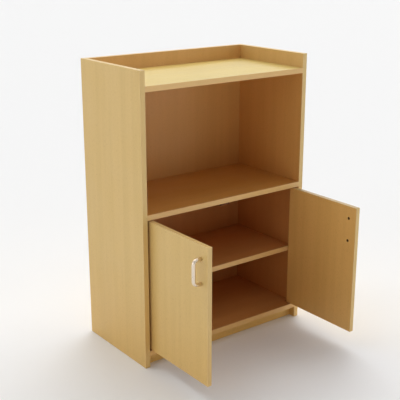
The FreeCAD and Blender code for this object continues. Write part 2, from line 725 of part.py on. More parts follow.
# Doors, each in its own frame: z is the pivot's axis, the closed door lies along x, its outer face at -y
def place_door(item, side):
    """Puts a door's piece on its pivot, turned to the open angle."""
    item.Placement = Placement(Vector(), Rotation(Z_AXIS, side * QUARTER_TURN))
    place(item, pivot_x(side), PIVOT_Y)
    bind(item, Placement__Rotation__Angle=f"{side} * door_open_angle")
    return item


def towards_middle(side, start, extent):
    """The low x of a stretch that starts at a distance from the pivot towards the cabinet's middle."""
    return start if side == LEFT else f"-({start}) - ({extent})"


OUTER_FACE = "(-door_thickness / 2)"
INNER_FACE = "(door_thickness / 2)"
DOOR_HEIGHT = f"({DOOR_TOP} - {DOOR_BASE})"


def door(side):
    label = f"door_{SIDE_NAMES[side]}"
    body = new_body(label)
    sketch = new_sketch(body, "XZ_Plane", OUTER_FACE)
    width = f"({DOOR_WIDTH} - 2 * band_thickness)"
    height = f"({DOOR_HEIGHT} - 2 * band_thickness)"
    low_x = towards_middle(side, f"{HINGE_EDGE} + band_thickness", width)
    draw_rectangle(sketch, low_x, f"{DOOR_BASE} + band_thickness", width, height)
    pad(body, sketch, "XZ_Plane", "door_thickness", 1)
    bush_hole = hole_for("bush_diameter")
    bush_depth = "bush_length + hole_end_clearance"
    drill(body, "XY_Plane", DOOR_BASE, [("0", "0")], bush_hole, bush_depth, 1)
    drill(body, "XY_Plane", DOOR_TOP, [("0", "0")], bush_hole, bush_depth, -1)
    screws = [(f"{-side} * {HANDLE_X}", height) for height in (HANDLE_LOW, HANDLE_HIGH)]
    screw_hole = hole_for("handle_screw_diameter")
    drill(body, "XZ_Plane", OUTER_FACE, screws, screw_hole, "door_thickness", 1)
    drill(body, "XZ_Plane", INNER_FACE, screws, "counterbore_diameter", "counterbore_depth", -1)
    return node(place_door(body, side), label)


def door_band(side):
    """Four strips round a door, the level ones between the upright ones, opened for the bushes."""
    label = f"door_band_{SIDE_NAMES[side]}"
    upright = ("band_thickness", "door_thickness", DOOR_HEIGHT)
    level = (f"{DOOR_WIDTH} - 2 * band_thickness", "door_thickness", "band_thickness")
    hinge_x = towards_middle(side, HINGE_EDGE, "band_thickness")
    free_x = towards_middle(side, f"{FREE_EDGE} - band_thickness", "band_thickness")
    level_x = towards_middle(side, f"{HINGE_EDGE} + band_thickness", level[0])
    strips = [
        new_strip(f"{label}_hinge", (hinge_x, OUTER_FACE, DOOR_BASE), upright, side * X_AXIS),
        new_strip(f"{label}_free", (free_x, OUTER_FACE, DOOR_BASE), upright, -side * X_AXIS),
    ]
    top_z = f"({DOOR_TOP} - band_thickness)"
    for name, low_z, outward in (("bottom", DOOR_BASE, -Z_AXIS), ("top", top_z, Z_AXIS)):
        strip = new_strip(f"{label}_{name}", (level_x, OUTER_FACE, low_z), level, outward)
        opened = doc.addObject("Part::Cut", f"{label}_{name}_opened")
        opened.Base = strip
        bush_hole = hole_for("bush_diameter")
        opened.Tool = new_cylinder(f"{label}_{name}_hole", ("0", "0", low_z), bush_hole, "band_thickness")
        strips.append(opened)
    return node(place_door(new_compound(label, strips), side), label)


def pivot_bush(side, top):
    """A flanged bush pressed into a door's edge, running on the pivot plate's pin."""
    label = f"pivot_bush_{'top' if top else 'bottom'}_{SIDE_NAMES[side]}"
    body = new_body(label)
    edge = DOOR_TOP if top else DOOR_BASE
    outward = 1 if top else -1
    bore = "(pivot_pin_diameter / 2 + fit_clearance)"
    flange = f"{edge} + {outward} * bush_flange_thickness"
    inner_end = f"{edge} - {outward} * bush_length"
    outline = [
        (bore, flange),
        ("bush_flange_diameter / 2", flange),
        ("bush_flange_diameter / 2", edge),
        ("bush_diameter / 2", edge),
        ("bush_diameter / 2", inner_end),
        (bore, inner_end),
    ]
    revolve(body, "XZ_Plane", outline, "V_Axis")
    return node(place_door(body, side), label)


def bend(name, centre, start, end):
    """A quarter of a ring of round bar, from one direction to another about its centre."""
    ring = doc.addObject("Part::Torus", name)
    ring.Placement = Placement(Vector(), Rotation(start, end, start.cross(end), "XYZ"))
    ring.Angle3 = QUARTER_TURN
    bind(ring, Radius1="handle_bend_radius", Radius2="handle_bar_diameter / 2")
    place(ring, *centre)
    return ring


def handle(side):
    """A round bar bent to a bow, with a threaded hole in each foot."""
    label = f"handle_{SIDE_NAMES[side]}"
    x = f"{-side} * {HANDLE_X}"
    grip_y = f"({OUTER_FACE} - handle_reach)"
    bend_y = f"({grip_y} + handle_bend_radius)"
    leg = f"({OUTER_FACE} - {bend_y})"
    low_bend = f"({HANDLE_LOW} + handle_bend_radius)"
    high_bend = f"({HANDLE_HIGH} - handle_bend_radius)"
    bar = "handle_bar_diameter"
    bow = doc.addObject("Part::MultiFuse", f"{label}_bow")
    bow.Refine = True
    bow.Shapes = [
        new_cylinder(f"{label}_low_leg", (x, bend_y, HANDLE_LOW), bar, leg, Y_AXIS),
        bend(f"{label}_low_bend", (x, bend_y, low_bend), -Z_AXIS, -Y_AXIS),
        new_cylinder(f"{label}_grip", (x, grip_y, low_bend), bar, f"{high_bend} - {low_bend}"),
        bend(f"{label}_high_bend", (x, bend_y, high_bend), -Y_AXIS, Z_AXIS),
        new_cylinder(f"{label}_high_leg", (x, bend_y, HANDLE_HIGH), bar, leg, Y_AXIS),
    ]
    hole = hole_for("handle_screw_diameter")
    depth = "handle_screw_bite + hole_end_clearance"
    feet = [(x, OUTER_FACE, height) for height in (HANDLE_LOW, HANDLE_HIGH)]
    holes = [new_cylinder(f"{label}_hole", foot, hole, depth, -Y_AXIS) for foot in feet]
    cut = doc.addObject("Part::Cut", label)
    cut.Base = bow
    cut.Tool = new_compound(f"{label}_holes", holes)
    return node(place_door(cut, side), label)


def handle_screws(side):
    """The two screws of a handle, put in from the door's inner face."""
    label = f"handle_screws_{SIDE_NAMES[side]}"
    screws = []
    for height in (HANDLE_LOW, HANDLE_HIGH):
        body = new_body("handle_screw")
        seat = f"({INNER_FACE} - counterbore_depth)"
        x = f"{-side} * {HANDLE_X}"
        shank = new_sketch(body, "XZ_Plane", seat)
        draw_circles(shank, [(x, height)], "handle_screw_diameter")
        shank_length = "door_thickness - counterbore_depth + handle_screw_bite"
        pad(body, shank, "XZ_Plane", shank_length, -1)
        head = new_sketch(body, "XZ_Plane", seat)
        draw_circles(head, [(x, height)], "handle_screw_head_diameter")
        pad(body, head, "XZ_Plane", "handle_screw_head_height", 1)
        top = f"{seat} + handle_screw_head_height"
        cut_cross(body, "XZ_Plane", top, -1, "handle_screw_head_diameter", centre=(x, height))
        screws.append(body)
    return node(place_door(new_compound(label, screws), side), label)


# Building
top_board = fixed_board("top_board", TOP_BOARD_BASE)
mid_shelf = fixed_board("mid_shelf", MID_SHELF_BASE)
bottom_board = fixed_board("bottom_board", BOTTOM_BOARD_BASE)
drill_for_pivots(mid_shelf, "0", 1)
drill_for_pivots(bottom_board, "board_thickness", -1)
drill_for_stop(mid_shelf)
back_panel()
plinth_board()
inner_shelf()
front_band("top_board_band", INNER_WIDTH, "0", TOP_BOARD_BASE)
front_band("mid_shelf_band", INNER_WIDTH, "0", MID_SHELF_BASE)
front_band("bottom_board_band", INNER_WIDTH, "0", BOTTOM_BOARD_BASE)
front_band("inner_shelf_band", SHELF_WIDTH, "inner_shelf_setback", INNER_SHELF_BASE)
back_band_low = (f"-{INNER_WIDTH} / 2", f"{FRONT} + {BOARD_DEPTH}", "cabinet_height - band_thickness")
back_band_extent = (INNER_WIDTH, "board_thickness", "band_thickness")
node(new_strip("back_panel_band", back_band_low, back_band_extent, Z_AXIS), "back_panel_band")
cam_bolts()
cam_locks()
dowels()
back_panel_screws()
shelf_supports()
door_stop()
countersunk_screws()
for side in (LEFT, RIGHT):
    side_panel(side)
    side_bands(side)
    door(side)
    door_band(side)
    handle(side)
    handle_screws(side)
    for top in (True, False):
        pivot_plate(side, top)
        pivot_bush(side, top)
doc.recompute()

# Nothing is written unless every object and every piece is sound
for item in doc.Objects:
    if {"Invalid", "Error"} & set(item.State):
        raise ValueError(f"{item.Name} ({item.Label}) is {item.State}")
for item in nodes:
    if item.Shape.isNull() or not item.Shape.isValid() or not item.Shape.Solids:
        raise ValueError(f"{item.Label} has no valid solid")

os.makedirs("parts", exist_ok=True)
for item in nodes:
    item.Shape.exportStep(os.path.join("parts", f"{item.Label}.step"))
    print(item.Label, "solids:", len(item.Shape.Solids))
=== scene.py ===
"""Storage cabinet: the finishes, handles, studio stage and camera that dress its packed construction model.

Metres, +Z up. X runs from left to right seen from the front and Y from front to back. The floor is at z = 0, and
the doors stand open at right angles to the front.
"""
import math

import bmesh
import bpy
from bpy.props import FloatProperty, FloatVectorProperty, PointerProperty
from mathutils import Matrix, Vector


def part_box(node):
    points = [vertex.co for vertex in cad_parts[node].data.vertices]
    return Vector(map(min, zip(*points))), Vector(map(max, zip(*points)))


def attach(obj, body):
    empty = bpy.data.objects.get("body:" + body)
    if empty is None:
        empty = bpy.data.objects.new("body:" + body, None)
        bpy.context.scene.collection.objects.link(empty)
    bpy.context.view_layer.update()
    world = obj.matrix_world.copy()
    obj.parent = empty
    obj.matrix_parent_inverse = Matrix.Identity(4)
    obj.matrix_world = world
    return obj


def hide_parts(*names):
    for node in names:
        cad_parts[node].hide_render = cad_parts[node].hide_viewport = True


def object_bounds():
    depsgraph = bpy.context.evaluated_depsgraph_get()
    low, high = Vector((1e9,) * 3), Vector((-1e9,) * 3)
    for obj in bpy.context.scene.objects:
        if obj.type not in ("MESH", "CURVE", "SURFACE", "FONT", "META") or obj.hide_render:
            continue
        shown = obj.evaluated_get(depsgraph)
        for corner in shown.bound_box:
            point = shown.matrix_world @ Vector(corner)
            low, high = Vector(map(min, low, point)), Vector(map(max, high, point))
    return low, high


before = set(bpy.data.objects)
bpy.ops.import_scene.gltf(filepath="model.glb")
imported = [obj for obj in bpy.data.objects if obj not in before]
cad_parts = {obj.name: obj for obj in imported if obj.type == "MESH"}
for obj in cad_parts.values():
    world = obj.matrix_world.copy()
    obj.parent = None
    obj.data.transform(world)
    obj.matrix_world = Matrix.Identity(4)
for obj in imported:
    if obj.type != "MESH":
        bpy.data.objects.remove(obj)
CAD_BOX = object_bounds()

bl_info = {
    "name": "Storage Cabinet",
    "version": (1, 0, 0),
    "blender": (4, 5, 0),
    "location": "3D View > Sidebar > Cabinet",
    "description": "Dresses a laminated board cabinet with its finishes, handles and studio stage",
    "category": "Object",
}

X, Y, Z = range(3)
MILLIMETRE = 0.001
MARGIN = 0.2 * MILLIMETRE  # brings the faces that bound a place inside it
FLOOR_DROP = 0.2 * MILLIMETRE  # keeps the floor clear of the cabinet's underside
WHITE_LEVEL = 0.96  # what the camera sees past the floor

# Sockets of a Mix node that mixes colours
FACTOR, COLOUR_A, COLOUR_B, COLOUR_RESULT = 0, 6, 7, 2

# Levels of a noise from which and up to which its pattern sets in
SOFT = (0.3, 0.7)
FIBRES = (0.35, 0.65)
PATCHES = (0.35, 0.7)
LINES = (0.45, 0.75)
FLECKS = (0.62, 0.72)

# The print of a piece is moved by this many times the sum of its box's corners, so that each shows its own part of it
BOARD_SHIFT, BAND_SHIFT = 3, 5

SQUARE_ON = 0.7  # a face is square to an axis from this share of its direction along it
UPWARD = (0.3, 0.9)  # upward shares of a face's direction between which it turns into an upper face

# Flat sides round a handle bar, and steps round each of its bends
BAR_SIDES, BEND_STEPS = 48, 12

# Boards with the axis across their laminated faces, the axis of their grain, and places with a tone of their own,
# which is painted light and shade for that place
CARCASS_BOARDS = {
    "side_panel_left": (X, Z, ("niche", "cupboard", "tray_side")),
    "side_panel_right": (X, Z, ("niche", "cupboard", "tray_side")),
    "back_panel": (Y, Z, ("niche", "cupboard", "tray_back")),
    "top_board": (Z, X, ("niche", "tray")),
    "mid_shelf": (Z, X, ("niche_floor", "cupboard")),
    "inner_shelf": (Z, X, ("cupboard",)),
    "bottom_board": (Z, X, ("cupboard",)),
    "plinth_board": (Y, X, ("plinth",)),
}
DOOR_BOARDS = {"door_left": (X, Z, ("doorway",)), "door_right": (X, Z, ("doorway",))}


def room(half_width, low, high):
    """Lowest and highest corner of a place between two faces, open to the front and as deep as the back panel."""
    return (
        Vector((-half_width - MARGIN, CAD_BOX[0][Y] - MARGIN, low - MARGIN)),
        Vector((half_width + MARGIN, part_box("back_panel")[0].y + MARGIN, high + MARGIN)),
    )


INNER_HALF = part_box("top_board")[1].x
NICHE = room(INNER_HALF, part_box("mid_shelf")[1].z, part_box("top_board")[0].z)
TRAY = room(INNER_HALF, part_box("top_board")[1].z, CAD_BOX[1][Z])
# Places whose faces take a tone of their own: painted light and shade
PLACES = {
    "niche": NICHE,
    "niche_floor": NICHE,
    "cupboard": room(INNER_HALF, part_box("bottom_board")[1].z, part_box("mid_shelf")[0].z),
    "tray": TRAY,
    "tray_back": TRAY,
    "tray_side": TRAY,
    "plinth": room(INNER_HALF, 0.0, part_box("plinth_board")[1].z),
    "doorway": room(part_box("door_right")[0].x, 0.0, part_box("mid_shelf")[0].z),
}

# Edge bands with the axis of their upright strips and the axis of their level ones
EDGE_BANDS = {
    "side_band_left": (Z, Y),
    "side_band_right": (Z, Y),
    "back_panel_band": (X, X),
    "top_board_band": (X, X),
    "mid_shelf_band": (X, X),
    "inner_shelf_band": (X, X),
    "bottom_board_band": (X, X),
    "door_band_left": (Z, Y),
    "door_band_right": (Z, Y),
}

# Bands whose upper faces have a tone of their own, with its setting and the share of it that shows. The paler tone of
# # the sides and back panel is painted light from above, the darker one of the doors' tops painted shade under the
# shelf
UPPER_TONES = {
    "side_band_left": ("lit", 0.45),
    "side_band_right": ("lit", 0.45),
    "back_panel_band": ("lit", 0.45),
    "door_band_left": ("shaded_top", 0.3),
    "door_band_right": ("shaded_top", 1.0),
}

# Sides with the direction along X in which the handle of their open door stands out
SIDES = {"left": -1, "right": 1}

# Soft lamps: degrees round the cabinet from its front, degrees above the floor, degrees across, and strength
LAMPS = {
    "front": (0, 42, 40, 0.14),
    "front_high": (0, 65, 40, 0.17),
    "front_right_low": (45, 12, 40, 0.33),
    "right_low": (90, 12, 40, 1.28),
    "right_high": (90, 65, 40, 0.49),
    "rear_right": (135, 42, 40, 1.22),
    "rear": (180, 42, 40, 0.69),
    "rear_left_high": (-135, 65, 30, 0.61),
    "rear_left_low": (-135, 12, 40, 0.51),
    "left_low": (-90, 12, 40, 0.48),
    "front_left": (-60, 35, 40, 0.12),
}


def linear(code):
    """An sRGB hex colour as linear red, green, blue and alpha."""
    shares = [int(code[place:place + 2], 16) / 255 for place in (1, 3, 5)]
    return [s / 12.92 if s <= 0.04045 else ((s + 0.055) / 1.055) ** 2.4 for s in shares] + [1.0]


def colour(name, description, code):
    return FloatVectorProperty(
        name=name, description=description, default=linear(code), size=4, subtype="COLOR", min=0, max=1
    )


def length(name, description, default):
    return FloatProperty(name=name, description=description, default=default, min=0, unit="LENGTH", precision=4)


def share(name, description, default):
    return FloatProperty(name=name, description=description, default=default, min=0, max=1, subtype="FACTOR")


def angle(name, description, default):
    return FloatProperty(name=name, description=description, default=math.radians(default), subtype="ANGLE")


# Settings
class BoardSettings(bpy.types.PropertyGroup):
    """Laminated boards and their edge bands"""
    outer: colour("Outer faces", "Beech print where daylight has faded it evenly", "#E1BE77")
    # Against the outer faces' tone, each place tone below is a copy of the one beech print, fitted to how light and
    # shade fall there. The open compartment, its floor, the cupboard and the tray's sides are darker and redder:
    # painted shade. The tray is yellower, the tray's back and the doors' inner faces warmer, and the plinth paler and
    # redder: painted light.
    niche: colour("Open compartment", "Beech print inside the open compartment", "#E0AA60")
    niche_floor: colour("Compartment floor", "Beech print on the open compartment's floor", "#CD954B")
    cupboard: colour("Cupboard", "Beech print inside the cupboard, hardly faded", "#D39454")
    tray: colour("Tray floor", "Beech print on the top board, the most faded", "#DCC371")
    # Paler tone of the tray's floor along the back panel, cancelling the contact shadow there: painted light
    tray_rear_light: colour("Tray rear", "Beech print of the tray's floor along the back panel, hardly worn", "#FBDD82")
    tray_back: colour("Tray back", "Beech print on the back panel above the top board", "#EABA7A")
    tray_side: colour("Tray sides", "Beech print on the side panels above the top board", "#DCB370")
    plinth: colour("Plinth", "Beech print of the plinth", "#F8CA74")
    doorway: colour("Door insides", "Beech print on the doors' inner faces", "#ECBB6D")
    band: colour("Upright bands", "Edge bands of the sides and doors", "#EDCA86")
    # Redder, deeper copy of the band tone for the strips of level boards: painted shade
    level_band_shade: colour("Level bands", "Edge bands of the shelves, from a pinker roll", "#F2C682")
    # Paler upper faces of the bands: painted light from above
    lit: colour("Faded bands", "Upper edges that daylight has faded", "#EBCF92")
    # Darker tops of the doors: painted shade under the mid shelf
    shaded_top: colour("Dusty bands", "Upper edges of the doors, dulled by dust and hands", "#BC9E64")
    scraped: colour("Scraped corners", "Corners of the bands, scraped round", "#E6C896")
    # How much deeper and warmer a tone gets near the floor: painted shade
    floor_shade: colour("Near the floor", "Deepest that a tone gets near the floor, against itself", "#FFF9EE")
    streak: colour("Streaks", "Darkest streaks of the print, against its tone", "#FAF9F5")
    fleck: colour("Flecks", "Short ray flecks of the print, against its tone", "#D6C2B4")
    glue: colour("Glue line", "Line between a board and its band, against its tone", "#C4B4B6")
    # Chips of the core: their own colour, made deep and red so that drilled holes read dark, which is partly painted
    # shade
    pale_chip_hole_shade: colour("Pale chips", "Lightest chips of the boards' core", "#A87C4A")
    dark_chip_hole_shade: colour("Dark chips", "Darkest chips of the boards' core", "#64401C")
    # Reach of the painted light on the tray's floor from the back panel
    tray_rear_light_reach: length("Tray rear depth", "From the back panel to where the tray's rear tone ends", 0.09)
    # Heights between which the painted shade near the floor fades out
    deep_below: length("Deepest below", "Height up to which a tone is deepest", 0.05)
    clear_above: length("Clear above", "Height from which a tone is no deeper", 0.4)
    streak_width: length("Streak width", "Soft streaks across the grain", 0.030)
    streak_length: length("Streak length", "Soft streaks along the grain", 0.9)
    grain_width: length("Grain width", "Fine grain lines across the grain", 0.0026)
    grain_length: length("Grain length", "Fine grain lines along the grain", 0.09)
    fleck_width: length("Fleck width", "Ray flecks across the grain", 0.0012)
    fleck_length: length("Fleck length", "Ray flecks along the grain", 0.009)
    glue_width: length("Glue line width", "Darker line along a board's edges", 0.0008)
    chip_size: length("Chip size", "Chips of the boards' core", 0.003)
    scrape_width: length("Scraped width", "Scraped part of a band along its corners", 0.0012)
    smudge_size: length("Smudge size", "Blotches of uneven sheen that handling leaves", 0.16)
    line_strength: share("Line strength", "How strongly the fine grain lines show", 0.5)
    fleck_strength: share("Fleck strength", "How strongly the ray flecks show", 0.5)
    glue_strength: share("Glue line strength", "How strongly the glue line shows", 0.6)
    scrape_strength: share("Scrape strength", "How strongly the scraped corners show", 0.35)
    satin: share("Roughness", "Roughness of the lacquered foil", 0.42)
    smudging: share("Smudging", "How far handling changes the roughness either way", 0.06)
    band_gloss: share("Band gloss", "How much less rough the bands are than the foil", 0.04)
    scraped_rough: share("Scraped roughness", "How much rougher the scraped corners are", 0.3)
    bare_rough: share("Bare roughness", "How much rougher the bare core is", 0.4)


class HandleSettings(bpy.types.PropertyGroup):
    """Bent round-bar handles"""
    bend_radius: length("Bend radius", "Centre line of the bar's bends", 0.015)
    foot_chamfer: length("Foot chamfer", "Broken edge round the bar's feet", 0.0006)
    metal: colour("Metal", "Satin nickel plating", "#ECDDC9")
    blasted: share("Blasted metal", "Roughness of the blasted metal", 0.31)
    rubbed: share("Palm marks", "Roughness where palms have rubbed it", 0.27)


class FittingSettings(bpy.types.PropertyGroup):
    """Fasteners, pivots and moulded fittings"""
    zinc: colour("Zinc plating", "Bright zinc plating of the back screws and bolts", "#BFC2C4")
    black: colour("Black oxide", "Blackened steel of the handle screws", "#160C04")
    yellow: colour("Yellow zinc", "Yellow-passivated zinc of the short screws", "#A98148")
    lacquer: colour("Lacquer", "Beech-coloured lacquer of the pivot plates", "#C4864F")
    steel: colour("Plate steel", "Nickel plating of the shelf supports", "#C4C2BC")
    cast: colour("Cast zinc", "Die-cast cam locks", "#A7A8A8")
    nylon: colour("Nylon", "Beech-coloured moulded nylon of the pivot bushes", "#B87C44")
    stop: colour("Door stop", "Brown moulded plastic of the door stop", "#6E3F14")
    dowel: colour("Dowels", "Turned beech of the dowels", "#D9B98A")


class StageSettings(bpy.types.PropertyGroup):
    """Floor, light and camera"""
    floor: colour("Floor", "Pale floor round the cabinet", "#F2F2F2")
    far_floor: colour("Far floor", "Pale floor far from the cabinet", "#EFEFEF")
    near_radius: length("Near radius", "Round the cabinet, where the far floor sets in", 0.5)
    far_radius: length("Far radius", "Round the cabinet, from where all is far floor", 1.8)
    scuff_size: length("Scuff size", "Faint blotches of the floor", 0.5)
    floor_size: length("Floor size", "From the floor's middle to its edges", 40.0)
    light: colour("Light", "Colour of the lamps and the surrounding light", "#FFFFFF")
    lamp_level: FloatProperty(name="Lamp level", description="Share of each lamp's strength", default=1.0, min=0)
    world_level: share("World level", "Strength of the surrounding light on matt surfaces", 0.05)
    reflection_level: share("Reflection level", "Strength of the white that glossy surfaces reflect", 0.35)
    lens: FloatProperty(name="Lens", description="Focal length in millimetres", default=74.64, unit="CAMERA")
    camera_place: FloatVectorProperty(
        name="Camera place", description="Where the camera stands", default=(-1.7112, -2.1282, 1.3616),
        subtype="TRANSLATION", unit="LENGTH",
    )
    camera_tilt: angle("Camera tilt", "Upwards from straight down", 72.896)
    camera_turn: angle("Camera turn", "About the vertical, from straight ahead", -37.125)


# Materials
def add(tree, kind, sockets=None, **settings):
    """Adds a shader node with its settings, and gives its sockets their values or links."""
    node = tree.nodes.new(kind)
    for name, value in settings.items():
        setattr(node, name, value)
    for socket, value in (sockets or {}).items():
        if isinstance(value, bpy.types.NodeSocket):
            tree.links.new(value, node.inputs[socket])
        else:
            node.inputs[socket].default_value = value
    return node


def darkened(base, part):
    """A colour with only part of its brightness."""
    return [part * channel for channel in base[:3]] + [1.0]


def new_material(name):
    """A material with an empty node tree, and where its nodes find a point and a direction of the piece."""
    material = bpy.data.materials.new(name)
    material.use_nodes = True
    material.node_tree.nodes.clear()
    place = add(material.node_tree, "ShaderNodeTexCoord")
    return material, material.node_tree, place.outputs["Object"], place.outputs["Normal"]


def finish_surface(tree, height, depth, **sockets):
    """Ends a material in a Principled surface whose relief is a height of 0 to 1 times a depth in metres."""
    bump = add(tree, "ShaderNodeBump", {"Height": height, "Distance": depth, "Strength": 1.0})
    surface = add(tree, "ShaderNodeBsdfPrincipled", {"Normal": bump.outputs[0]})
    for name, value in sockets.items():
        socket = surface.inputs[name.replace("_", " ")]
        if isinstance(value, bpy.types.NodeSocket):
            tree.links.new(value, socket)
        else:
            socket.default_value = value
    add(tree, "ShaderNodeOutputMaterial", {"Surface": surface.outputs[0]})


def ramp(tree, value, low, high, start=0.0, end=1.0):
    """Eases a value between low and high into a value between start and end."""
    return add(
        tree, "ShaderNodeMapRange", {0: value, 1: low, 2: high, 3: start, 4: end}, interpolation_type="SMOOTHSTEP"
    ).outputs[0]


def calculate(tree, operation, *values):
    return add(tree, "ShaderNodeMath", dict(enumerate(values)), operation=operation).outputs[0]


def mix_colours(tree, factor, first, second, blend="MIX"):
    sockets = {FACTOR: factor, COLOUR_A: first, COLOUR_B: second}
    return add(tree, "ShaderNodeMix", sockets, data_type="RGBA", blend_type=blend).outputs[COLOUR_RESULT]


def noise(tree, point, size, detail=2.0):
    """Noise whose blotches have a real size in metres, or three sizes along X, Y and Z."""
    sizes = [size] * 3 if isinstance(size, float) else size
    scaled = add(tree, "ShaderNodeMapping", {"Vector": point, "Scale": [1 / each for each in sizes]})
    return add(tree, "ShaderNodeTexNoise", {"Vector": scaled.outputs[0], "Scale": 1.0, "Detail": detail}).outputs[0]


def along(axis, across_size, along_size):
    """Sizes of a pattern that is drawn out along an axis."""
    return [along_size if each == axis else across_size for each in (X, Y, Z)]


def distances_inside(tree, point, low, high):
    """How far a point is inside a box, along X, Y and Z."""
    from_low = add(tree, "ShaderNodeVectorMath", {0: point, 1: low}, operation="SUBTRACT").outputs[0]
    from_high = add(tree, "ShaderNodeVectorMath", {0: high, 1: point}, operation="SUBTRACT").outputs[0]
    nearest = add(tree, "ShaderNodeVectorMath", {0: from_low, 1: from_high}, operation="MINIMUM").outputs[0]
    return add(tree, "ShaderNodeSeparateXYZ", {0: nearest}).outputs


def edge_distance(tree, point, low, high):
    """How far a point on the face of a board is from the nearest edge of the board."""
    x, y, z = distances_inside(tree, point, low, high)
    inner = calculate(tree, "MINIMUM", calculate(tree, "MAXIMUM", x, y), z)
    return calculate(tree, "MAXIMUM", calculate(tree, "MINIMUM", x, y), inner)


def facing(tree, direction, axis):
    """1 on faces square to an axis, 0 on faces along it."""
    part = add(tree, "ShaderNodeSeparateXYZ", {0: direction}).outputs[axis]
    return calculate(tree, "GREATER_THAN", calculate(tree, "ABSOLUTE", part), SQUARE_ON)


def shaded_towards_floor(tree, point, board, tone):
    """A tone that gets deeper and warmer towards the floor: painted shade near the floor."""
    height = add(tree, "ShaderNodeSeparateXYZ", {0: point}).outputs[Z]
    floor_shade_share = ramp(tree, height, board.deep_below, board.clear_above, 1.0, 0.0)
    return mix_colours(tree, floor_shade_share, tone, board.floor_shade, "MULTIPLY")


def toned(tree, point, board, places):
    """The print's tone: that of the outer faces, or of the place that a face looks into, which stands for the light
    and shade that fall there as painted light and shade. The tray's floor turns into its rear tone along the back
    panel."""
    tone = shaded_towards_floor(tree, point, board, board.outer)
    for place in places:
        x, y, z = distances_inside(tree, point, *PLACES[place])
        least = calculate(tree, "MINIMUM", calculate(tree, "MINIMUM", x, y), z)
        # The place's own tone is painted light and shade for it
        own = getattr(board, place)
        # The tray's floor turns paler towards the back panel: painted light against the contact shadow there
        if place == "tray":
            own = mix_colours(tree, ramp(tree, y, 0.0, board.tray_rear_light_reach, 1.0, 0.0), own, board.tray_rear_light)
        tone = mix_colours(tree, calculate(tree, "GREATER_THAN", least, 0.0), tone, own)
    return tone


def wood_print(tree, point, axis, board, tone):
    """Colour and fine relief of the beech print: soft streaks and fine lines along the grain."""
    streaks = noise(tree, point, along(axis, board.streak_width, board.streak_length), 3.0)
    lines = noise(tree, point, along(axis, board.grain_width, board.grain_length))
    streaked = mix_colours(tree, ramp(tree, streaks, *SOFT), tone, board.streak, "MULTIPLY")
    line_share = ramp(tree, lines, *LINES, 0.0, board.line_strength)
    lined = mix_colours(tree, line_share, streaked, board.streak, "MULTIPLY")
    return lined, lines


def beech_laminate(board, name, face_axis, grain_axis, places):
    """Beech-printed melamine foil pressed on chipboard. It gives soft streaks and short darker ray flecks along the
    grain, drawn about twice their real width so that they show, a tone of painted light and shade that is darker and
    redder inside the compartments and a little deeper towards the floor, a satin sheen that handling has made uneven,
    a thin darker line where a band is glued on, and bare chips on sawn edges and in drilled holes."""
    material, tree, point, direction = new_material(f"beech_laminate_{name}")
    low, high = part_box(name)
    moved = add(tree, "ShaderNodeMapping", {"Vector": point, "Location": (low + high) * BOARD_SHIFT}).outputs[0]
    print_colour, lines = wood_print(tree, moved, grain_axis, board, toned(tree, point, board, places))
    flecks = noise(tree, moved, along(grain_axis, board.fleck_width, board.fleck_length), 1.0)
    fleck_share = ramp(tree, flecks, *FLECKS, 0.0, board.fleck_strength)
    flecked = mix_colours(tree, fleck_share, print_colour, board.fleck, "MULTIPLY")
    edge = ramp(tree, edge_distance(tree, point, low, high), 0.0, board.glue_width, board.glue_strength, 0.0)
    foil = mix_colours(tree, edge, flecked, board.glue, "MULTIPLY")

    # The bare core's deep colours are partly painted shade in the drilled holes
    chips = add(tree, "ShaderNodeTexVoronoi", {"Vector": moved, "Scale": 1 / board.chip_size})
    core = mix_colours(tree, chips.outputs["Color"], board.dark_chip_hole_shade, board.pale_chip_hole_shade)
    on_face = facing(tree, direction, face_axis)
    smudges = noise(tree, moved, board.smudge_size, 4.0)
    sheen = ramp(tree, smudges, *SOFT, board.satin - board.smudging, board.satin + board.smudging)
    bare = calculate(tree, "SUBTRACT", 1.0, on_face)
    relief = mix_colours(tree, on_face, chips.outputs["Distance"], lines)
    finish_surface(
        tree, relief, 0.05 * MILLIMETRE,
        Base_Color=mix_colours(tree, on_face, core, foil),
        Roughness=calculate(tree, "MULTIPLY_ADD", bare, board.bare_rough, sheen),
        IOR=1.5,
    )
    return material


def edge_band(board, name, upright_axis, level_axis):
    """Printed ABS strip glued on and trimmed, a little paler and smoother than the foil of the outer faces. Its
    corners are scraped round, which leaves them slightly paler and duller, and its upper faces get a tone of their
    own:
    paler on the sides and the back panel as painted light from above, and darker on the doors' tops as painted shade
    under the shelf.
    The strips of level boards get a redder, deeper tone of their own: painted shade."""
    material, tree, point, direction = new_material(f"abs_edge_band_{name}")
    low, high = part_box(name)
    moved = add(tree, "ShaderNodeMapping", {"Vector": point, "Location": (low + high) * BAND_SHIFT}).outputs[0]
    # Strips of level boards take the redder band tone, which is painted shade
    tone = shaded_towards_floor(tree, point, board, board.level_band_shade if upright_axis == X else board.band)
    upright, lines = wood_print(tree, moved, upright_axis, board, tone)
    level, level_lines = wood_print(tree, moved, level_axis, board, tone)
    on_level = facing(tree, direction, Z)
    # Upper faces take painted light on the sides and back panel, and painted shade on the doors' tops
    upper_tone, most = UPPER_TONES.get(name, ("lit", 0.0))
    rise = add(tree, "ShaderNodeSeparateXYZ", {0: direction}).outputs[Z]
    upper = ramp(tree, rise, *UPWARD, 0.0, most)
    strip = mix_colours(tree, upper, mix_colours(tree, on_level, upright, level), getattr(board, upper_tone))
    scraped = ramp(
        tree, edge_distance(tree, point, low, high), 0.0, board.scrape_width, board.scrape_strength, 0.0
    )
    relief = mix_colours(tree, on_level, lines, level_lines)
    finish_surface(
        tree, relief, 0.03 * MILLIMETRE,
        Base_Color=mix_colours(tree, scraped, strip, board.scraped),
        Roughness=calculate(tree, "MULTIPLY_ADD", scraped, board.scraped_rough, board.satin - board.band_gloss),
        IOR=1.5,
    )
    return material


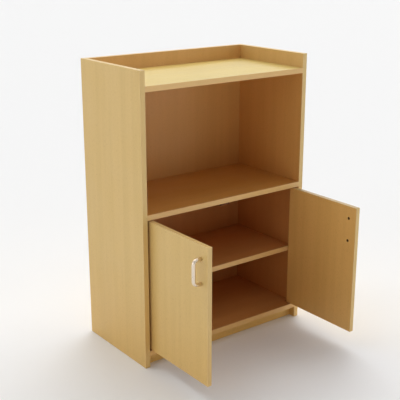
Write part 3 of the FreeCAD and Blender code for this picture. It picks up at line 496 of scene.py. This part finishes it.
def satin_nickel(handles):
    """Nickel plating over a bead-blasted bar. It gives a soft, slightly warm shine with a fine even grit, drawn a few
    times as coarse as the real one so that it shows, and palm marks that are a little glossier."""
    material, tree, point, _ = new_material("satin_nickel")
    grit = noise(tree, point, 0.4 * MILLIMETRE, 1.0)
    marks = noise(tree, point, 22 * MILLIMETRE, 2.0)
    finish_surface(
        tree, grit, 0.003 * MILLIMETRE,
        Base_Color=mix_colours(tree, ramp(tree, marks, *SOFT), handles.metal, darkened(handles.metal, 0.95)),
        Metallic=1.0,
        Roughness=ramp(tree, marks, *SOFT, handles.blasted, handles.rubbed),
    )
    return material


def plated_metal(name, base, roughness, grit_size, grit_depth):
    """Plated or cast metal of the small fittings: a grit of its own coarseness, drawn coarse enough to show, and a
    patchy dullness where the plating is thinner."""
    material, tree, point, _ = new_material(name)
    grit = noise(tree, point, grit_size, 2.0)
    patches = noise(tree, point, 6 * MILLIMETRE, 3.0)
    finish_surface(
        tree, grit, grit_depth,
        Base_Color=mix_colours(tree, ramp(tree, patches, *PATCHES, 0.0, 0.6), base, darkened(base, 0.7)),
        Metallic=1.0,
        Roughness=ramp(tree, patches, *SOFT, roughness, roughness + 0.15),
    )
    return material


def moulded_plastic(name, base, roughness, ior):
    """Injection-moulded plastic, or the thick lacquer of the pivot plates: an even colour with a faint cloudiness,
    and a fine pebbled texture, drawn coarse enough to show."""
    material, tree, point, _ = new_material(name)
    texture = noise(tree, point, 0.5 * MILLIMETRE, 2.0)
    clouds = noise(tree, point, 9 * MILLIMETRE, 2.0)
    finish_surface(
        tree, texture, 0.03 * MILLIMETRE,
        Base_Color=mix_colours(tree, clouds, base, darkened(base, 0.88)),
        Roughness=ramp(tree, texture, *SOFT, roughness, roughness + 0.1),
        IOR=ior,
    )
    return material


def turned_beech(base):
    """Solid beech dowel, turned and fluted. It is paler than the print and dull, with short fibres along it."""
    material, tree, point, _ = new_material("turned_beech")
    fibres = noise(tree, point, along(X, 0.8 * MILLIMETRE, 8 * MILLIMETRE))
    finish_surface(
        tree, fibres, 0.1 * MILLIMETRE,
        Base_Color=mix_colours(tree, ramp(tree, fibres, *FIBRES), base, darkened(base, 0.75)),
        Roughness=ramp(tree, fibres, *SOFT, 0.6, 0.75),
        IOR=1.5,
    )
    return material


def studio_floor(stage):
    """Pale matt floor with faint scuffs, a trace paler round the cabinet."""
    material, tree, point, _ = new_material("studio_floor")
    scuffs = noise(tree, point, stage.scuff_size, 3.0)
    away = add(tree, "ShaderNodeVectorMath", {0: point}, operation="LENGTH").outputs["Value"]
    near = mix_colours(tree, scuffs, stage.floor, darkened(stage.floor, 0.985))
    farness = ramp(tree, away, stage.near_radius, stage.far_radius)
    surface = add(tree, "ShaderNodeBsdfPrincipled", {
        "Base Color": mix_colours(tree, farness, near, stage.far_floor),
        "Roughness": 0.9,
        "IOR": 1.3,
    })
    add(tree, "ShaderNodeOutputMaterial", {"Surface": surface.outputs[0]})
    return material


# Pieces
def paint(node_name, material):
    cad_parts[node_name].material_slots[0].material = material


def new_piece(name, mesh_builder, material):
    """Makes an object from a bmesh, with its faces smooth where the bmesh marks them and with its place in its mesh.
    """
    mesh = bpy.data.meshes.new(name)
    bmesh.ops.recalc_face_normals(mesh_builder, faces=mesh_builder.faces)
    mesh_builder.to_mesh(mesh)
    mesh_builder.free()
    mesh.materials.append(material)
    piece = bpy.data.objects.new(name, mesh)
    bpy.context.scene.collection.objects.link(piece)
    return piece


def edges_of(geometry):
    return [item for item in geometry if isinstance(item, bmesh.types.BMEdge)]


def push(bar, ring, step):
    """Extrudes an open ring of edges by a step, and returns the ring at its new end."""
    made = bmesh.ops.extrude_edge_only(bar, edges=ring)
    bmesh.ops.translate(bar, vec=step, verts=[v for v in made["geom"] if isinstance(v, bmesh.types.BMVert)])
    return edges_of(made["geom"])


def swing(bar, ring, centre, turn):
    """Spins an open ring of edges about the Y direction, and returns the ring at its new end."""
    made = bmesh.ops.spin(
        bar, geom=ring, cent=centre, axis=(0, 1, 0), angle=turn, steps=BEND_STEPS, use_merge=False,
        use_duplicate=False,
    )
    return edges_of(made["geom_last"])


def scale_ring(bar, ring, centre, factor):
    """Scales a ring of edges about its centre."""
    corners = {corner for edge in ring for corner in edge.verts}
    bmesh.ops.scale(bar, vec=(factor,) * 3, space=Matrix.Translation(-centre), verts=list(corners))


def handle_bar(side, handles):
    """One round bar: out of the door's face, round a bend, down, and round a bend back to the face."""
    low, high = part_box(f"handle_{side}")
    away = SIDES[side]
    radius = (high.y - low.y) / 2
    face, reach = (low.x, high.x - radius) if away > 0 else (high.x, low.x + radius)
    middle = (low.y + high.y) / 2
    top, bottom = high.z - radius, low.z + radius
    bend = handles.bend_radius
    chamfer = handles.foot_chamfer
    foot = Vector((face, middle, top))
    arm = abs(reach - face) - bend
    bar = bmesh.new()
    bmesh.ops.create_circle(
        bar, cap_ends=True, segments=BAR_SIDES, radius=radius - chamfer,
        matrix=Matrix.Translation(foot) @ Matrix.Rotation(math.pi / 2, 4, "Y"),
    )
    ring = push(bar, bar.edges[:], (away * chamfer, 0, 0))
    scale_ring(bar, ring, foot + Vector((away * chamfer, 0, 0)), radius / (radius - chamfer))
    ring = push(bar, ring, (away * (arm - chamfer), 0, 0))
    ring = swing(bar, ring, (face + away * arm, middle, top - bend), away * math.pi / 2)
    ring = push(bar, ring, (0, 0, bottom - top + 2 * bend))
    ring = swing(bar, ring, (face + away * arm, middle, bottom + bend), away * math.pi / 2)
    ring = push(bar, ring, (-away * (arm - chamfer), 0, 0))
    foot.z = bottom
    end = push(bar, ring, (-away * chamfer, 0, 0))
    scale_ring(bar, end, foot, (radius - chamfer) / radius)
    bmesh.ops.holes_fill(bar, edges=end)
    for polygon in bar.faces:
        polygon.smooth = len(polygon.verts) == 4
    return bar


class CABINET_OT_boards(bpy.types.Operator):
    """Laminates the carcass boards, each with its grain along its length"""
    bl_idname = "cabinet.boards"
    bl_label = "Carcass boards"

    def execute(self, context):
        for name, axes in CARCASS_BOARDS.items():
            paint(name, beech_laminate(context.scene.cabinet_boards, name, *axes))
        return {"FINISHED"}


class CABINET_OT_doors(bpy.types.Operator):
    """Laminates the two doors with upright grain"""
    bl_idname = "cabinet.doors"
    bl_label = "Doors"

    def execute(self, context):
        for name, axes in DOOR_BOARDS.items():
            paint(name, beech_laminate(context.scene.cabinet_boards, name, *axes))
        return {"FINISHED"}


class CABINET_OT_edge_bands(bpy.types.Operator):
    """Bands the edges of the boards and doors"""
    bl_idname = "cabinet.edge_bands"
    bl_label = "Edge bands"

    def execute(self, context):
        for name, axes in EDGE_BANDS.items():
            paint(name, edge_band(context.scene.cabinet_boards, name, *axes))
        return {"FINISHED"}


class CABINET_OT_handles(bpy.types.Operator):
    """Bends the two handle bars and plates them"""
    bl_idname = "cabinet.handles"
    bl_label = "Handles"

    def execute(self, context):
        handles = context.scene.cabinet_handles
        nickel = satin_nickel(handles)
        for side in SIDES:
            bar = new_piece(f"handle_bar_{side}", handle_bar(side, handles), nickel)
            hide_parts(f"handle_{side}")
            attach(bar, f"{side}_door")
        return {"FINISHED"}


class CABINET_OT_screws(bpy.types.Operator):
    """Plates the screws of the handles, the back panel and the small fittings"""
    bl_idname = "cabinet.screws"
    bl_label = "Screws"

    def execute(self, context):
        fittings = context.scene.cabinet_fittings
        zinc = plated_metal("zinc_plated_steel", fittings.zinc, 0.3, 0.3 * MILLIMETRE, 0.01 * MILLIMETRE)
        yellow = plated_metal("yellow_zinc_screw", fittings.yellow, 0.35, 0.3 * MILLIMETRE, 0.01 * MILLIMETRE)
        black = plated_metal("blackened_steel", fittings.black, 0.5, 0.3 * MILLIMETRE, 0.01 * MILLIMETRE)
        paint("back_panel_screws", zinc)
        paint("countersunk_screws", yellow)
        for side in SIDES:
            paint(f"handle_screws_{side}", black)
        return {"FINISHED"}


class CABINET_OT_pivots(bpy.types.Operator):
    """Finishes the pivot plates and the bushes that run on their pins"""
    bl_idname = "cabinet.pivots"
    bl_label = "Door pivots"

    def execute(self, context):
        fittings = context.scene.cabinet_fittings
        lacquer = moulded_plastic("beech_lacquered_steel", fittings.lacquer, 0.45, 1.5)
        nylon = moulded_plastic("moulded_nylon", fittings.nylon, 0.4, 1.53)
        for side in SIDES:
            for end in ("top", "bottom"):
                paint(f"pivot_plate_{end}_{side}", lacquer)
                paint(f"pivot_bush_{end}_{side}", nylon)
        return {"FINISHED"}


class CABINET_OT_joinery(bpy.types.Operator):
    """Finishes the cam locks, their bolts and the dowels that hold the carcass together"""
    bl_idname = "cabinet.joinery"
    bl_label = "Cams, bolts and dowels"

    def execute(self, context):
        fittings = context.scene.cabinet_fittings
        paint("cam_locks", plated_metal("cast_zinc", fittings.cast, 0.45, 0.5 * MILLIMETRE, 0.05 * MILLIMETRE))
        paint("cam_bolts", plated_metal("zinc_plated_bolt", fittings.zinc, 0.3, 0.3 * MILLIMETRE, 0.01 * MILLIMETRE))
        paint("dowels", turned_beech(fittings.dowel))
        return {"FINISHED"}


class CABINET_OT_supports(bpy.types.Operator):
    """Finishes the shelf supports and the door stop"""
    bl_idname = "cabinet.supports"
    bl_label = "Shelf supports and door stop"

    def execute(self, context):
        fittings = context.scene.cabinet_fittings
        steel = plated_metal("pressed_steel", fittings.steel, 0.35, 0.4 * MILLIMETRE, 0.02 * MILLIMETRE)
        paint("shelf_supports", steel)
        paint("door_stop", moulded_plastic("moulded_abs", fittings.stop, 0.65, 1.52))
        return {"FINISHED"}


class CABINET_OT_stage(bpy.types.Operator):
    """Sets the floor, the studio light and the camera"""
    bl_idname = "cabinet.stage"
    bl_label = "Studio stage"

    def execute(self, context):
        stage = context.scene.cabinet_stage
        sheet = bmesh.new()
        bmesh.ops.create_grid(
            sheet, x_segments=1, y_segments=1, size=stage.floor_size,
            matrix=Matrix.Translation((0, 0, -FLOOR_DROP)),
        )
        new_piece("floor", sheet, studio_floor(stage))
        self.light_world(context.scene, stage)
        self.set_lamps(context.scene, stage)
        self.set_camera(context.scene, stage)
        context.scene.view_settings.view_transform = "Standard"
        return {"FINISHED"}

    def light_world(self, scene, stage):
        """Surrounding light on the cabinet, and plain white where the camera or a reflection sees past the floor."""
        world = bpy.data.worlds.new("studio")
        scene.world = world
        world.use_nodes = True
        tree = world.node_tree
        tree.nodes.clear()
        path = add(tree, "ShaderNodeLightPath")
        matt_or_glossy = ramp(
            tree, path.outputs["Is Glossy Ray"], 0.0, 1.0, stage.world_level, stage.reflection_level
        )
        level = ramp(tree, path.outputs["Is Camera Ray"], 0.0, 1.0, matt_or_glossy, WHITE_LEVEL)
        light = add(tree, "ShaderNodeBackground", {"Color": stage.light, "Strength": level})
        add(tree, "ShaderNodeOutputWorld", {"Surface": light.outputs[0]})

    def set_lamps(self, scene, stage):
        """Soft lamps that stand far off all round, the strongest on the right and behind."""
        for name, (round_about, height, across, strength) in LAMPS.items():
            lamp = bpy.data.lights.new(name, "SUN")
            lamp.energy = strength * stage.lamp_level
            lamp.angle = math.radians(across)
            lamp.color = stage.light[:3]
            stand = bpy.data.objects.new(name, lamp)
            stand.rotation_euler = (math.radians(90 - height), 0, math.radians(round_about))
            scene.collection.objects.link(stand)

    def set_camera(self, scene, stage):
        lens = bpy.data.cameras.new("camera")
        lens.lens = stage.lens
        lens.clip_end = 4 * stage.floor_size
        camera = bpy.data.objects.new("camera", lens)
        camera.location = stage.camera_place
        camera.rotation_euler = (stage.camera_tilt, 0, stage.camera_turn)
        scene.collection.objects.link(camera)
        scene.camera = camera


class CABINET_PT_pieces(bpy.types.Panel):
    """Lists the cabinet's pieces and their settings"""
    bl_idname = "CABINET_PT_pieces"
    bl_label = "Storage cabinet"
    bl_space_type = "VIEW_3D"
    bl_region_type = "UI"
    bl_category = "Cabinet"

    def draw(self, context):
        for operator in OPERATORS:
            self.layout.operator(operator.bl_idname)
        for name in SETTINGS:
            group = getattr(context.scene, name)
            box = self.layout.box()
            for setting in group.bl_rna.properties.keys():
                if setting not in ("rna_type", "name"):
                    box.prop(group, setting)


SETTINGS = {
    "cabinet_boards": BoardSettings,
    "cabinet_handles": HandleSettings,
    "cabinet_fittings": FittingSettings,
    "cabinet_stage": StageSettings,
}
OPERATORS = (
    CABINET_OT_boards,
    CABINET_OT_doors,
    CABINET_OT_edge_bands,
    CABINET_OT_handles,
    CABINET_OT_screws,
    CABINET_OT_pivots,
    CABINET_OT_joinery,
    CABINET_OT_supports,
    CABINET_OT_stage,
)


def register():
    for name, settings in SETTINGS.items():
        bpy.utils.register_class(settings)
        setattr(bpy.types.Scene, name, PointerProperty(type=settings))
    for operator in OPERATORS:
        bpy.utils.register_class(operator)
    bpy.utils.register_class(CABINET_PT_pieces)


def unregister():
    bpy.utils.unregister_class(CABINET_PT_pieces)
    for operator in reversed(OPERATORS):
        bpy.utils.unregister_class(operator)
    for name, settings in SETTINGS.items():
        delattr(bpy.types.Scene, name)
        bpy.utils.unregister_class(settings)


def main():
    register()
    for operator in OPERATORS:
        group, name = operator.bl_idname.split(".")
        getattr(getattr(bpy.ops, group), name)()


if __name__ == "__main__":
    main()
